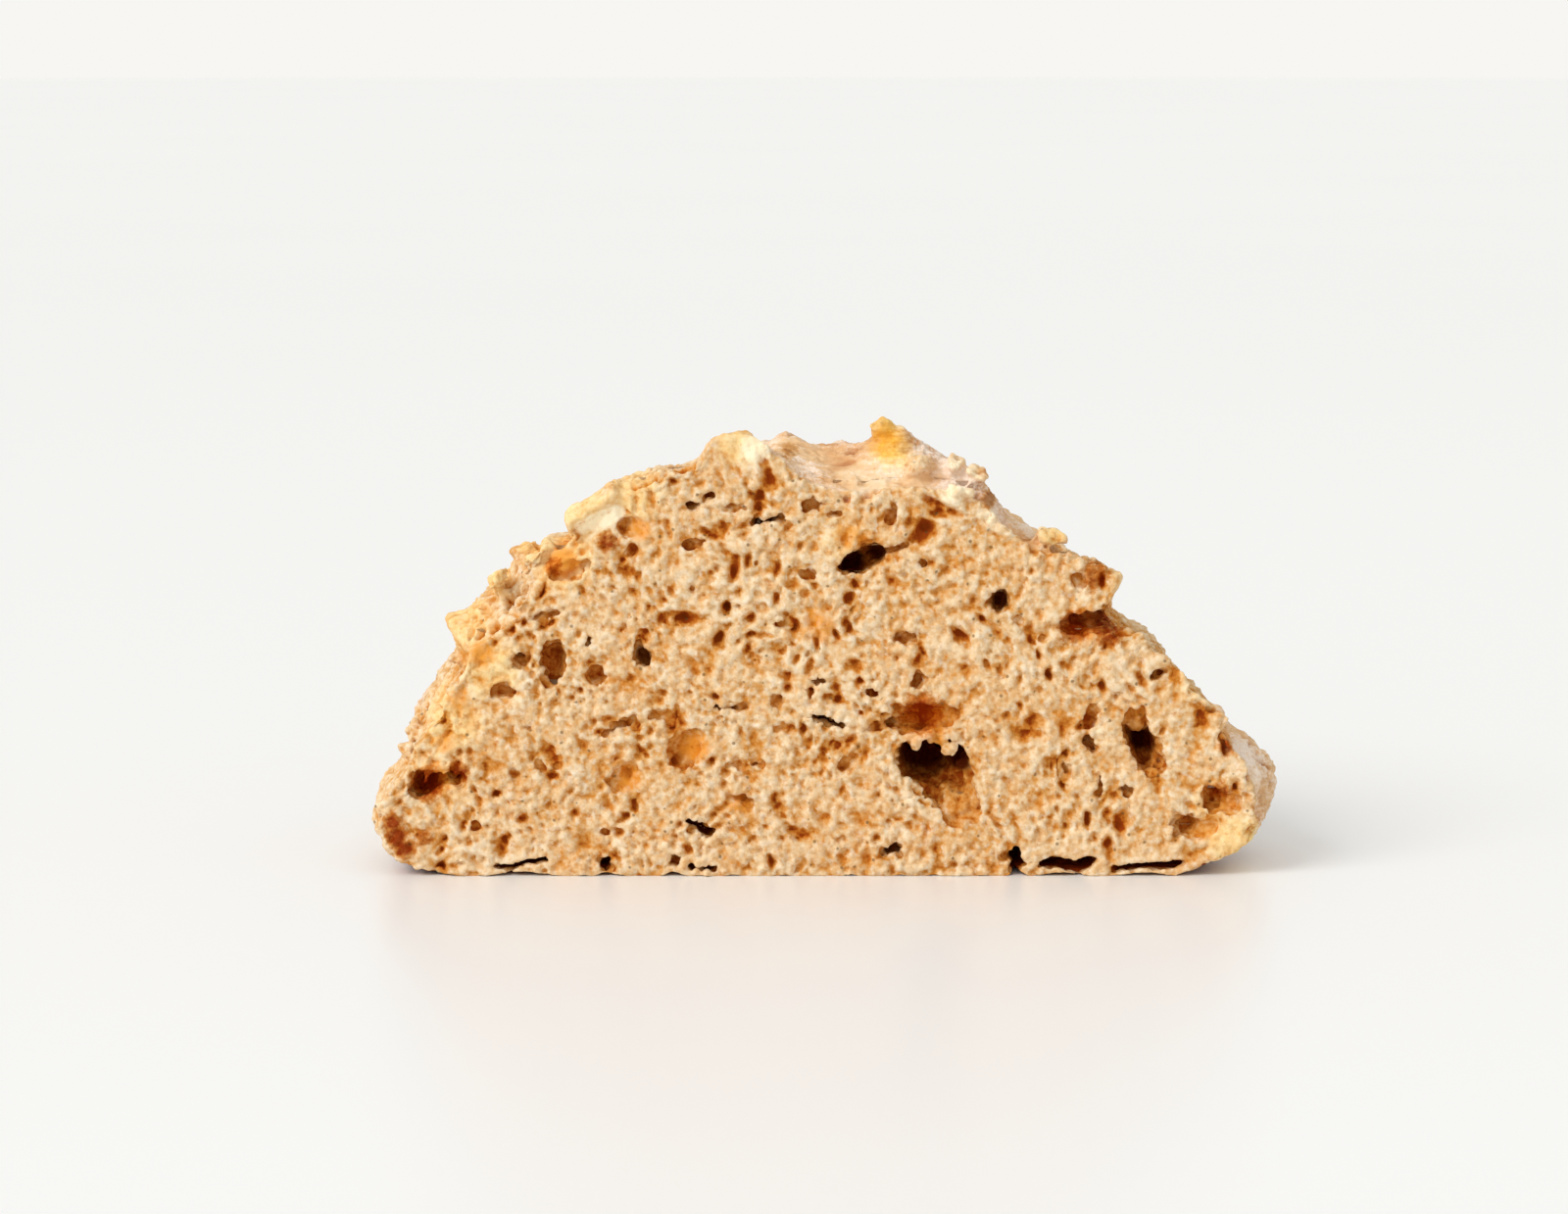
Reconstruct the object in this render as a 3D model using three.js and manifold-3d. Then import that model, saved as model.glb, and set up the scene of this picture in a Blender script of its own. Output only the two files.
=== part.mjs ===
// Half of a rustic wholemeal bread roll, cut upright a little in front of its middle and standing on its flat base.
// Millimetres, +Z up, the cut face looks along -Y, and the origin is the middle of the bounding box's base.
//
// The roll is made as it is baked: a domed body, swollen by lumps and dented by tears in its crust.
// It is then trimmed by the board it was baked on and by the knife, and its large air holes are opened in the cut face.
import * as THREE from "three";
import { ImprovedNoise } from "three/addons/math/ImprovedNoise.js";
import { mergeVertices } from "three/addons/utils/BufferGeometryUtils.js";
import Module from "manifold-3d";

const wasm = await Module();
wasm.setup();

// The whole roll, measured from the middle of its base.
const HALF_WIDTH = 48.3;
const HALF_DEPTH = 44;
const WIDEST_LEVEL = 9; // height of the widest girth above the board
const DOME_RISE = 37.5; // from the widest girth up to the top
const UNDER_DROP = 12; // from the widest girth down to where the underside would close
const SLOPE_LEFT = 1.6; // 2 is an ellipse, less is a straighter slope
const SLOPE_RIGHT = 1.45;
const SLOPE_UNDER = 3;
const SIDES_BLEND = 0.4; // how far either side of straight ahead the left and right slopes blend into each other
const GIRTH_BLEND = [-0.12, 0.04]; // from the under slope to the slope above, as the sine of a direction's rise
const KNIFE = -10; // the cut's place along Y, in front of the roll's middle
const SURFACE_STEPS = 26; // divisions of each edge of the icosahedron that the dome is shaped from

// Lumps stand out of the smooth dome, and dents, with a negative height, sink into it. Each fades over its reach.
const LUMPS = [
  { name: "peak over the cut", at: [-8.5, -10, 43.5], reach: 5, height: 3.5 },
  { name: "crown of the upper left", at: [-18, -7, 42], reach: 6.5, height: 3.2 },
  { name: "flap on the upper left", at: [-25, -6, 41], reach: 4.5, height: 2.6 },
  { name: "lump under the flap", at: [-30.5, -5, 35], reach: 4, height: 2.2 },
  { name: "left knob", at: [-39.5, -4, 27.5], reach: 4, height: 2.4 },
  { name: "straight left flank", at: [-44, -4, 17], reach: 8, height: -4.1 },
  { name: "torn edge on the left", at: [-32, -12, 28.5], reach: 6, height: -3.0 },
  { name: "torn edge under the flap", at: [-26, -12, 37], reach: 3.5, height: -3.2 },
  { name: "tear left of the top", at: [2, -12, 44], reach: 4.5, height: -2.0 },
  { name: "saddle of the top", at: [-1, -2, 47], reach: 5, height: -1.0 },
  { name: "rim right of the top", at: [17, -12, 38], reach: 7, height: 1.0 },
  { name: "ridge behind the tears", at: [10, -1, 45], reach: 6, height: 1.4 },
  { name: "nub on the top", at: [7.8, -4, 44.8], reach: 2.6, height: 4.4 },
  { name: "right shoulder", at: [16.5, -4, 42], reach: 5, height: 2.6 },
  { name: "hanging chunk", at: [31, -9, 33], reach: 4.5, height: 3.2 },
  { name: "right flank hollow", at: [38.5, -3, 25], reach: 7, height: -3.4 },
  { name: "right heel", at: [47, 0, 9], reach: 9, height: 2.0 },
  { name: "left heel", at: [-47.5, -10, 8], reach: 5, height: 1.3 },
  { name: "back shoulder", at: [-14, 34, 26], reach: 12, height: 1.8 },
  { name: "back dimple", at: [16, 32, 30], reach: 10, height: -1.6 },
];

// The crust's unevenness: [size of a swell, its height], largest first.
const CRUST_WAVES = [
  [11, 1.3],
  [4.5, 0.55],
];

// Air holes that open in the cut face: middle across and up the face, width, height and depth, and tilt in degrees.
const AIR_HOLES = [
  { name: "largest hole", at: [12.3, 11.9], size: [7.2, 5.0, 8], tilt: -15 },
  { name: "its lower lobe", at: [14.3, 9.6], size: [4.8, 6.6, 5], tilt: 25 },
  { name: "shallow hole above it", at: [10.5, 16.9], size: [6.4, 2.8, 2.4], tilt: 0 },
  { name: "upper hole", at: [5.2, 34.4], size: [6.0, 2.8, 5], tilt: 20 },
  { name: "left heel hole", at: [-42.7, 10.0], size: [5.2, 3.0, 4], tilt: 18 },
  { name: "its right lobe", at: [-39.1, 11.2], size: [3.0, 2.2, 3], tilt: -40 },
  { name: "right flank hole", at: [35.1, 14.9], size: [3.2, 7.8, 5.5], tilt: 18 },
  { name: "right heel hole", at: [43.2, 8.5], size: [3.2, 2.9, 3], tilt: 0 },
  { name: "hole by the right heel", at: [40.2, 5.6], size: [3.6, 2.8, 2.4], tilt: 0 },
  { name: "round upper right hole", at: [19.8, 30.1], size: [2.5, 2.6, 3.5], tilt: 0 },
  { name: "tall left hole", at: [-28.1, 23.4], size: [3.0, 5.2, 3.4], tilt: -6 },
  { name: "left neighbour", at: [-31.7, 23.4], size: [2.2, 2.2, 2.2], tilt: 0 },
  { name: "lower left neighbour", at: [-33.4, 20.1], size: [2.8, 2.0, 2], tilt: 0 },
  { name: "right neighbour", at: [-23.3, 21.9], size: [2.3, 2.4, 2], tilt: 0 },
  { name: "bean-shaped hole", at: [-18.5, 24.0], size: [2.0, 3.2, 2.4], tilt: 30 },
  { name: "oval dish", at: [-14.0, 13.8], size: [3.8, 4.8, 1.8], tilt: -35 },
  { name: "pale dish", at: [-20.6, 10.7], size: [4.2, 3.2, 1.5], tilt: 30 },
  { name: "hole under the left fold", at: [-26.3, 33.2], size: [5.0, 2.4, 2.6], tilt: 20 },
  { name: "hole under the upper fold", at: [-19.5, 38.0], size: [3.4, 2.4, 2.2], tilt: 0 },
];

// The holes are balls with this many facets round and from top to bottom, made uneven by slow noise.
const HOLE_FACETS = [14, 9];
const HOLE_UNEVENNESS = 0.28;
const HOLE_NOISE_RATE = 1.7;

// Clefts run back into the crust from the cut face, under an overhang.
const CLEFTS = [
  { name: "under the hanging chunk", at: [31.2, 27.9], size: [9.0, 2.2, 9], tilt: 4 },
  { name: "under the left fold", at: [-28.8, 36.6], size: [6.0, 1.4, 8], tilt: 10 },
];

const WELD = 1e-4; // corners closer than this are one
const NOISE_START = new THREE.Vector3(3.1, 7.7, 1.3); // keeps the noise's flat spots away from the roll's middle

const noise = new ImprovedNoise();

function smoothstep(value, low, high) {
  return THREE.MathUtils.smoothstep(value, low, high);
}

// The smooth dome's reach from its middle in a given direction.
function domeReach(direction) {
  const acrossBase = Math.hypot(direction.x / HALF_WIDTH, direction.y / HALF_DEPTH);
  const sideways = direction.x / Math.max(WELD, Math.hypot(direction.x, direction.y));
  const rightward = smoothstep(sideways, -SIDES_BLEND, SIDES_BLEND);
  const slopeAbove = THREE.MathUtils.lerp(SLOPE_LEFT, SLOPE_RIGHT, rightward);
  const slope = THREE.MathUtils.lerp(SLOPE_UNDER, slopeAbove, smoothstep(direction.z, ...GIRTH_BLEND));
  const upward = Math.abs(direction.z) / (direction.z > 0 ? DOME_RISE : UNDER_DROP);
  return Math.pow(Math.pow(acrossBase, slope) + Math.pow(upward, slope), -1 / slope);
}

function lumpHeight(point) {
  let height = 0;
  for (const lump of LUMPS) {
    const apart = point.distanceTo(new THREE.Vector3(...lump.at));
    height += lump.height * Math.exp(-((apart / lump.reach) ** 2));
  }
  return height;
}

function crustHeight(point) {
  let height = 0;
  for (const [swell, rise] of CRUST_WAVES) {
    const place = point.clone().divideScalar(swell).add(NOISE_START);
    height += rise * noise.noise(place.x, place.y, place.z);
  }
  return height;
}

// A geometry with nothing but its corners, each of them once.
function welded(geometry) {
  const bare = geometry.clone();
  bare.deleteAttribute("normal");
  bare.deleteAttribute("uv");
  return mergeVertices(bare, WELD);
}

// A ball's geometry with every corner moved by a function of its direction.
function shaped(ball, place) {
  const geometry = welded(ball);
  const position = geometry.getAttribute("position");
  const direction = new THREE.Vector3();
  for (let i = 0; i < position.count; i++) {
    direction.fromBufferAttribute(position, i).normalize();
    const point = place(direction);
    position.setXYZ(i, point.x, point.y, point.z);
  }
  return geometry;
}

function solidFrom(geometry) {
  const merged = welded(geometry);
  return new wasm.Manifold(
    new wasm.Mesh({
      numProp: 3,
      vertProperties: merged.getAttribute("position").array,
      triVerts: new Uint32Array(merged.index.array),
    }),
  );
}

function geometryFrom(solid) {
  const mesh = solid.getMesh();
  const geometry = new THREE.BufferGeometry();
  geometry.setAttribute("position", new THREE.BufferAttribute(mesh.vertProperties, 3));
  geometry.setIndex(new THREE.BufferAttribute(mesh.triVerts, 1));
  return geometry;
}

function wholeRoll() {
  const middle = new THREE.Vector3(0, 0, WIDEST_LEVEL);
  const onCrust = (direction) => {
    const point = direction.clone().multiplyScalar(domeReach(direction)).add(middle);
    return point.addScaledVector(direction, lumpHeight(point) + crustHeight(point));
  };
  return solidFrom(shaped(new THREE.IcosahedronGeometry(1, SURFACE_STEPS), onCrust));
}

// What the board and the knife leave of the roll.
function keptSpace() {
  const room = 4 * HALF_WIDTH;
  const block = new THREE.BoxGeometry(room, room, room);
  block.translate(0, KNIFE + room / 2, room / 2);
  return solidFrom(block);
}

// An uneven hollow with its middle just behind the cut face.
function hollow({ at, size, tilt }) {
  const [x, z] = at;
  const [width, height, depth] = size;
  const uneven = (direction) => {
    const place = direction.clone().multiplyScalar(HOLE_NOISE_RATE);
    const swell = 1 + HOLE_UNEVENNESS * noise.noise(place.x + x, place.y + z, place.z);
    return direction.clone().multiplyScalar(swell);
  };
  const ball = shaped(new THREE.SphereGeometry(1, ...HOLE_FACETS), uneven);
  ball.scale(width / 2, depth, height / 2);
  ball.rotateY(THREE.MathUtils.degToRad(-tilt));
  ball.translate(x, KNIFE, z);
  return solidFrom(ball);
}

function breadRoll() {
  let solid = wholeRoll().intersect(keptSpace());
  for (const hole of [...AIR_HOLES, ...CLEFTS]) {
    solid = solid.subtract(hollow(hole));
  }
  const geometry = geometryFrom(solid);
  geometry.computeBoundingBox();
  const middle = geometry.boundingBox.getCenter(new THREE.Vector3());
  const crumb = new THREE.MeshStandardMaterial({ color: 0xdeb07a, roughness: 0.9, metalness: 0 });
  const mesh = new THREE.Mesh(geometry, crumb);
  mesh.name = "bread_roll_half";
  mesh.position.set(-middle.x, -middle.y, -geometry.boundingBox.min.z);
  return mesh;
}

const group = new THREE.Group();
group.add(breadRoll());

export default group;
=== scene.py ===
import math
import random

import bmesh
import bpy
from mathutils import Matrix, Vector, noise
from mathutils.bvhtree import BVHTree


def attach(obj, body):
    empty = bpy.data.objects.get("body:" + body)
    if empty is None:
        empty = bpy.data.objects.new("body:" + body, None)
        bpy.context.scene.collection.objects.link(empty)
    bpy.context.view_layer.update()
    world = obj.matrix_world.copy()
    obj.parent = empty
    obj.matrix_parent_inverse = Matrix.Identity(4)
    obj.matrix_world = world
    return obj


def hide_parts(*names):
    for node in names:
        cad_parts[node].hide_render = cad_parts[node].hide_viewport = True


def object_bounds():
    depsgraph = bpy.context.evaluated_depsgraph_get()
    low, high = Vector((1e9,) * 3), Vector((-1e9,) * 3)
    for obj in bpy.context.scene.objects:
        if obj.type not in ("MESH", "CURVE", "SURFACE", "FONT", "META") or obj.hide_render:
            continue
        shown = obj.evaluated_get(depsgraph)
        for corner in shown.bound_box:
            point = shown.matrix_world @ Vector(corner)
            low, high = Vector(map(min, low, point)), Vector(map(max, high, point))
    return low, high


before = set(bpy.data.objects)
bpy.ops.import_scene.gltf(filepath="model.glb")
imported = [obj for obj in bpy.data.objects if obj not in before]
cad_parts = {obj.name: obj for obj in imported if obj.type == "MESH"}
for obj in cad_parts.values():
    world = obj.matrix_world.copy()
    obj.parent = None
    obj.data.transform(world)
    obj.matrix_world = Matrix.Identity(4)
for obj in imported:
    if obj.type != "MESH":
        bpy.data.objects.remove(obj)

CAD_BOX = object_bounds()
LOW, HIGH = CAD_BOX

MM = 0.001
NODE = "bread_roll_half"
CUT = LOW.y  # the cut face's place along Y; the roll lies behind it

FLOOR_RADIUS = 6
WALL_WHITE = (0.93, 0.92, 0.895)
CEILING_WHITE = (0.68, 0.68, 0.67)

# How finely the crumb and the crust are modelled.
GRAIN = 0.235 * MM
SOFTENING = 4  # rounds of smoothing after the openings are carved
RELAXING = 8  # rounds of smoothing of what is folded at the end
CRUMB_DEPTH = 2.2 * MM  # the front piece holds the crumb's relief, back to here
FRONT_FACES = 194000
BACK_FACES = 190000
PENALTY = 1000  # how strongly the points to keep are kept
NEAR_SHARE = 0.98  # how much of that keeping is given to points near the cut
BUBBLES_AT_ONCE = 40

# Bubbles that open in the cut face, by size.
PORE_KINDS = [
    # how many, smallest and largest width, least and most flatness
    (60, 0.9 * MM, 1.7 * MM, 0.4, 0.9),
    (150, 0.6 * MM, 1.0 * MM, 0.5, 1.0),
]
PORE_SEED = 11

# The foam that the crumb is: size of a cell, depth of its deepest hollow, and how rare deep ones are.
FOAM = [
    (2.4 * MM, 1.10 * MM, 2.6),
    (1.4 * MM, 1.00 * MM, 1.5),
    (0.85 * MM, 0.55 * MM, 1.1),
]
FOAM_BEND = (6.5 * MM, 2.4 * MM)  # how slowly, and how far, the foam's rows are drawn aside
FRAY = (0.55 * MM, 0.16 * MM)  # how slowly, and how far, the rims of its cells are frayed
LUMPS = [
    # size of the crumb's lumps, and how far they stand out
    (2.6 * MM, 0.20 * MM),
    (1.1 * MM, 0.26 * MM),
    (0.7 * MM, 0.19 * MM),
]
LUMPS_START = Vector((7, 3, 5))  # keeps the lumps from falling in step with the foam

# Single openings of the face: across, up, width, height, depth behind the face, and tilt in degrees.
SLITS = [
    # the large hole: its dark top, its shallow right and its foot
    (11.4, 13.1, 6.4, 3.6, 7.0, 0),
    (15.2, 9.8, 3.0, 6.6, 2.2, 15),
    (12.8, 8.6, 6.0, 3.6, 2.6, -35),
    # the hole near the top and its tail
    (6.7, 35.4, 4.0, 1.3, 1.8, 22),
    # the upright slit on the right, with the strokes beside it
    (33.8, 17.8, 1.9, 3.4, 1.3, 8),
    (35.7, 13.4, 2.0, 4.0, 2.2, 20),
    (28.1, 15.0, 1.1, 3.4, 3.0, 24),
    (28.7, 17.5, 1.6, 2.2, 1.2, 0),
    # the brown gap under the chunk, and the nick behind it
    (26.7, 27.2, 2.8, 2.2, 2.6, 0),
    (30.4, 26.8, 6.0, 1.1, 2.0, 0),
    (32.2, 28.5, 4.4, 1.9, 14.0, -14),
    # the nick under the flap
    (-30.0, 37.8, 4.0, 1.8, 12.0, 10),
    # thin dark slits
    (-22.0, 16.4, 3.8, 1.4, 1.8, 30),
    (0.2, 17.0, 3.8, 1.2, 2.4, -20),
    (-13.7, 5.4, 3.4, 1.3, 2.8, -25),
    (-6.2, 38.8, 3.6, 1.1, 2.0, 6),
    (-0.8, 21.3, 1.6, 1.1, 1.8, 0),
    (5.6, 16.2, 3.2, 0.9, 1.2, 12),
    (-14.0, 36.2, 2.2, 1.1, 1.5, 20),
    (-9.0, 8.4, 3.2, 1.1, 1.4, -8),
    # round and oval pits
    (-40.8, 10.9, 2.8, 1.8, 2.2, 15),
    (10.7, 17.3, 5.6, 3.0, 1.9, -4),
    (8.4, 25.9, 2.5, 1.5, 1.9, 5),
    (9.9, 21.3, 1.6, 2.0, 1.9, -20),
    (7.3, 2.8, 2.0, 1.6, 2.6, 0),
    (32.5, 9.5, 1.5, 1.2, 2.0, -20),
    (-1.4, 40.5, 1.8, 1.6, 1.8, 0),
    (0.9, 39.6, 1.4, 1.0, 1.4, 0),
    (7.0, 39.4, 1.4, 1.6, 1.7, 0),
    (-14.3, 40.3, 1.4, 1.2, 1.6, 0),
    (-12.5, 41.2, 1.4, 1.0, 1.4, 20),
    (-10.0, 40.2, 2.0, 0.9, 1.1, 0),
    (-1.8, 33.0, 1.8, 1.5, 1.4, 0),
    (-9.4, 18.4, 1.9, 1.0, 1.5, 0),
    (-11.6, 18.5, 1.3, 0.8, 1.4, -25),
    (-5.2, 19.2, 1.6, 1.6, 1.3, 0),
    (-18.0, 17.4, 2.0, 1.8, 1.3, 0),
    (-9.8, 12.2, 1.7, 1.0, 1.2, 0),
    (-7.4, 12.1, 1.3, 0.8, 1.2, 0),
    (4.8, 20.0, 1.6, 0.9, 1.6, 0),
    (2.6, 12.3, 2.0, 1.2, 1.2, 20),
    (27.2, 32.2, 1.6, 1.8, 1.4, 0),
    (-30.2, 28.5, 2.8, 1.1, 1.6, 15),
    (25.8, 11.7, 1.4, 1.6, 1.8, 0),
    (29.6, 9.8, 0.9, 2.4, 1.4, 0),
    (35.4, 22.0, 1.4, 1.1, 1.4, 0),
    (41.4, 18.4, 1.3, 0.9, 1.6, 0),
    (43.0, 14.8, 1.0, 3.6, 1.0, 15),
    (43.0, 8.4, 2.6, 2.4, 1.6, 0),
    (40.7, 5.2, 2.6, 1.8, 1.2, 0),
    # gaps along the floor
    (-33.0, 1.1, 5.8, 0.9, 4.0, 12),
    (-23.9, 1.2, 1.4, 1.5, 4.0, 0),
    (-16.2, 1.5, 1.6, 1.8, 2.2, 0),
    (-13.3, 0.9, 3.0, 0.8, 4.0, -5),
    (20.8, 1.6, 1.5, 2.8, 6.0, 0),
    (26.2, 1.1, 5.8, 1.6, 6.0, 0),
    (34.8, 0.9, 7.0, 1.0, 5.0, 3),
]

# Where the roll stands clear of the floor along its front edge: across, half width, height, in mm.
LIFTS = [
    (-33.0, 5.0, 0.5),
    (-23.8, 1.6, 0.4),
    (-16.4, 1.6, 0.5),
    (20.8, 1.4, 0.5),
    (25.6, 3.6, 0.4),
    (34.5, 4.0, 0.4),
    (43.0, 4.6, 0.8),
]

# How far above the floor and how far behind the cut the lift is gone, and from where on it is whole.
LIFT_UP = (2.4 * MM, 0)
LIFT_BACK = (8 * MM, 4 * MM)

# Where the outline stands out or in beside the plain solid: across, up, reach and how far, in mm.
SWELLS = [
    (-45.6, 1.4, 2.4, 0.6),
    (-48.0, 11.4, 3.0, -1.8),
    (-44.5, 19.5, 4.0, -1.0),
    (-41.2, 23.4, 2.2, -1.5),
    (-41.0, 27.4, 1.2, 0.6),
    (-39.4, 28.6, 1.2, -0.5),
    (-32.8, 36.0, 1.7, -1.3),
    (-29.2, 37.5, 1.4, -2.0),
    (-25.6, 42.4, 1.8, -0.5),
    (-18.6, 44.6, 1.8, -0.5),
    (-15.4, 46.0, 2.0, -1.2),
    (-9.6, 47.2, 2.6, 0.9),
    (-7.4, 47.8, 1.6, 0.6),
    (-4.6, 47.4, 2.2, 1.0),
    (2.6, 47.0, 1.6, 0.5),
    (10.8, 46.4, 2.4, 0.9),
    (18.2, 41.0, 2.0, 0.4),
    (24.0, 37.4, 3.0, 0.5),
    (31.4, 33.2, 1.6, 0.5),
    (32.9, 29.6, 2.0, -1.8),
    (34.2, 27.0, 2.2, -1.8),
    (36.8, 24.6, 2.4, -1.2),
    (40.4, 21.2, 2.2, -1.9),
    (43.0, 19.0, 2.0, -1.0),
    (44.6, 16.0, 2.0, -0.9),
    (48.0, 11.0, 4.0, 0.5),
    (46.0, 4.6, 3.0, 0.5),
]

# Where the rim of the cut stands out beyond the skin behind it: across, up, reach and how far, in mm.
LIPS = [
    (34.0, 26.8, 1.6, 2.0),
    (35.6, 25.8, 2.6, 1.1),
    (38.4, 23.4, 2.8, 1.9),
    (41.4, 19.4, 2.4, 1.3),
    (42.8, 17.6, 1.4, 0.9),
]

# How far behind the cut the swells, the lips and the tints are gone, and from where on they are whole.
SWELLS_FADE = (32 * MM, 16 * MM)
LIPS_FADE = (5 * MM, 2 * MM)
TINTS_FADE = (14 * MM, 8 * MM)
TINTS_SHORTER_ON_CRUST = 4 * MM

# The baked skin reaches the cut at the top and at the right end, and is torn elsewhere along the rim.
# Each pair says where the skin, or a torn flank, begins and where it is whole.
TOP_CRUST_LEFT = (-9 * MM, -5 * MM)
TOP_CRUST_RIGHT = (26 * MM, 20 * MM)
TOP_CRUST_UP = (34 * MM, 37 * MM)
END_CRUST_LEFT = (41 * MM, 45 * MM)
END_CRUST_UP = (22 * MM, 17 * MM)
RIGHT_FLANK_LEFT = (22 * MM, 28 * MM)
RIGHT_FLANK_UP = (15 * MM, 18 * MM)
LEFT_FLANK_RIGHT = (-12 * MM, -18 * MM)
RIGHT_TEAR = 14  # how much farther back the right flank is torn, in mm
LEFT_TEAR = 9
TEAR_BACK = (6 * MM, 10 * MM)
NOTCH_PLACE = (31 * MM, 27 * MM)  # the broken place under the chunk on the right
NOTCH_SLIMNESS = 1.5
NOTCH_REACH = (9 * MM, 6 * MM)
CRUST_DEPTH = (1.4 * MM, 0.5 * MM)
CRUST_BACK = (0.15 * MM, 1.2 * MM)

# How much of the fine relief is lost deep in the openings, on drawn dough and on the torn band.
DEEP_CALM = 0.4
DEEP = (0.8 * MM, 2 * MM)
AMBER_CALM = 0.7
SMOOTH_CALM = 0.85
TORN_CALM = 0.35
FOOT_UP = (0.5 * MM, 0.1 * MM)  # up to here the underside stays plain
DEPTH_SCALE = 4 * MM  # the depth that the finish takes as 1

# The roll's tints, some of which are painted shade: across, up, reach and strength of each spot, in
# mm.
TINTS = {
    # what is golden, on the torn band and on the flaps
    "gold": [
        (6.3, 48.5, 2.6, 1.0),
        (7.0, 46.2, 2.6, 0.9),
        (-26.0, 39.8, 3.6, 0.9),
        (-20.7, 41.5, 3.6, 0.8),
        (-28.2, 34.6, 3.6, 1.0),
        (-31.8, 35.6, 2.0, 0.9),
        (-35.8, 32.0, 2.4, 1.0),
        (-39.0, 27.0, 3.6, 0.9),
        (-36.0, 22.6, 3.6, 0.9),
        (-40.5, 17.0, 4.0, 0.9),
        (-42.0, 11.0, 4.0, 0.6),
        (-9.4, 46.8, 2.4, 1.0),
        (24.3, 37.2, 1.6, 1.0),
        (44.0, 4.0, 3.4, 1.0),
        (42.0, 8.0, 3.0, 0.7),
        (31.0, 32.0, 2.0, 0.5),
        (2.0, 36.8, 3.0, 0.6),
        (40.0, 22.0, 4.0, 0.5),
    ],
    # orange-brown painted warm shade in the hollows of drawn dough
    "amber": [
        (6.6, 46.8, 2.0, 0.7),
        (-19.8, 37.8, 1.5, 0.65),
        (-28.3, 34.0, 2.0, 0.9),
        (-37.0, 24.2, 1.7, 0.7),
        (-39.6, 19.2, 1.6, 0.6),
        (-41.0, 14.7, 1.4, 0.6),
        (-14.2, 14.0, 2.0, 0.75),
        (-21.3, 10.8, 1.7, 0.6),
        (-9.2, 7.9, 1.4, 0.6),
        (-0.8, 27.4, 2.2, 0.6),
        (2.4, 36.9, 1.8, 0.5),
        (42.9, 8.0, 1.8, 0.5),
        (40.5, 5.0, 2.0, 0.45),
        (27.8, 27.4, 2.4, 0.7),
        (10.8, 16.8, 2.9, 0.8),
        (-42.0, 10.4, 2.6, 0.6),
        (43.0, 14.8, 1.2, 0.6),
        (33.7, 17.8, 1.6, 0.4),
    ],
    # cream dough
    "pale": [
        (-26.2, 37.9, 0.9, 0.9),
        (-25.0, 38.4, 1.1, 1.0),
        (-23.7, 38.9, 1.2, 1.0),
        (-22.4, 39.5, 1.1, 0.9),
        (-33.4, 18.6, 1.4, 0.45),
        (27.4, 30.8, 1.3, 0.55),
        (-7.6, 46.4, 2.2, 0.7),
        (9.6, 44.9, 2.6, 0.4),
        (14.0, 43.0, 3.4, 0.6),
        (18.4, 39.6, 3.0, 0.6),
        (47.6, 12.0, 3.6, 0.5),
        (29.5, 16.0, 1.2, 0.5),
        (10.5, 15.0, 1.6, 0.5),
    ],
    # toasted spots, and painted shadow under the flap, under the knob, in the gap under the chunk and
    # in the dish above the large hole
    "brown": [
        (-46.8, 5.9, 1.1, 0.8),
        (-46.3, 4.4, 1.2, 0.9),
        (-45.5, 3.0, 1.2, 0.8),
        (-43.4, 4.2, 1.0, 0.5),
        (-3.8, 46.0, 0.9, 0.8),
        (0.4, 46.4, 0.9, 0.6),
        (2.2, 46.5, 0.8, 0.5),
        (17.6, 40.8, 0.9, 0.8),
        (28.9, 32.8, 1.5, 0.6),
        (26.8, 27.2, 1.8, 0.75),
        (30.4, 26.8, 1.8, 0.7),
        (10.4, 17.9, 2.2, 0.8),
        (-43.0, 10.1, 1.8, 0.9),
        (-39.6, 11.3, 1.2, 0.8),
        (42.6, 9.2, 1.2, 0.6),
        (-29.2, 33.6, 1.0, 0.6),
        (43.2, 14.2, 0.9, 0.6),
        (-23.3, 36.4, 1.1, 0.7),
    ],
    # painted shade: what is dark within the deepest openings and in the gaps along the floor
    "dark": [
        (10.8, 13.4, 3.2, 1.0),
        (14.6, 12.6, 1.6, 0.9),
        (2.4, 34.0, 1.9, 1.0),
        (5.6, 35.2, 1.4, 0.7),
        (-38.6, 11.4, 1.2, 0.4),
        (19.0, 29.9, 1.5, 0.7),
        (34.4, 14.4, 1.5, 0.9),
        (-19.2, 24.0, 1.8, 0.6),
        (0.2, 17.0, 2.0, 0.8),
        (-13.7, 5.4, 2.0, 1.0),
        (-6.2, 38.8, 2.0, 0.7),
        (7.3, 2.6, 1.4, 0.7),
        (-33.0, 1.2, 3.4, 0.8),
        (20.8, 1.6, 1.8, 1.0),
        (26.2, 1.2, 3.2, 1.0),
        (34.8, 0.9, 3.6, 1.0),
        (-23.9, 1.2, 1.2, 0.7),
        (-13.3, 0.9, 1.8, 0.8),
    ],
    # what is drawn out smooth, like dough
    "smooth": [
        (-27.0, 39.0, 1.6, 1.0),
        (-24.4, 40.6, 2.4, 1.0),
        (-22.0, 41.4, 1.6, 1.0),
        (-23.6, 38.7, 1.8, 0.9),
        (-19.9, 37.9, 1.6, 0.9),
        (-28.4, 34.6, 2.4, 0.7),
        (6.2, 47.2, 2.6, 0.7),
        (44.0, 3.6, 2.4, 0.7),
        (14.4, 8.4, 2.6, 0.8),
        (10.7, 17.3, 2.6, 0.9),
        (-10.0, 46.0, 2.6, 0.7),
        (-33.0, 1.0, 3.4, 0.8),
        (26.2, 1.2, 3.4, 0.8),
        (34.8, 1.0, 3.6, 0.8),
    ],
}

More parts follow.
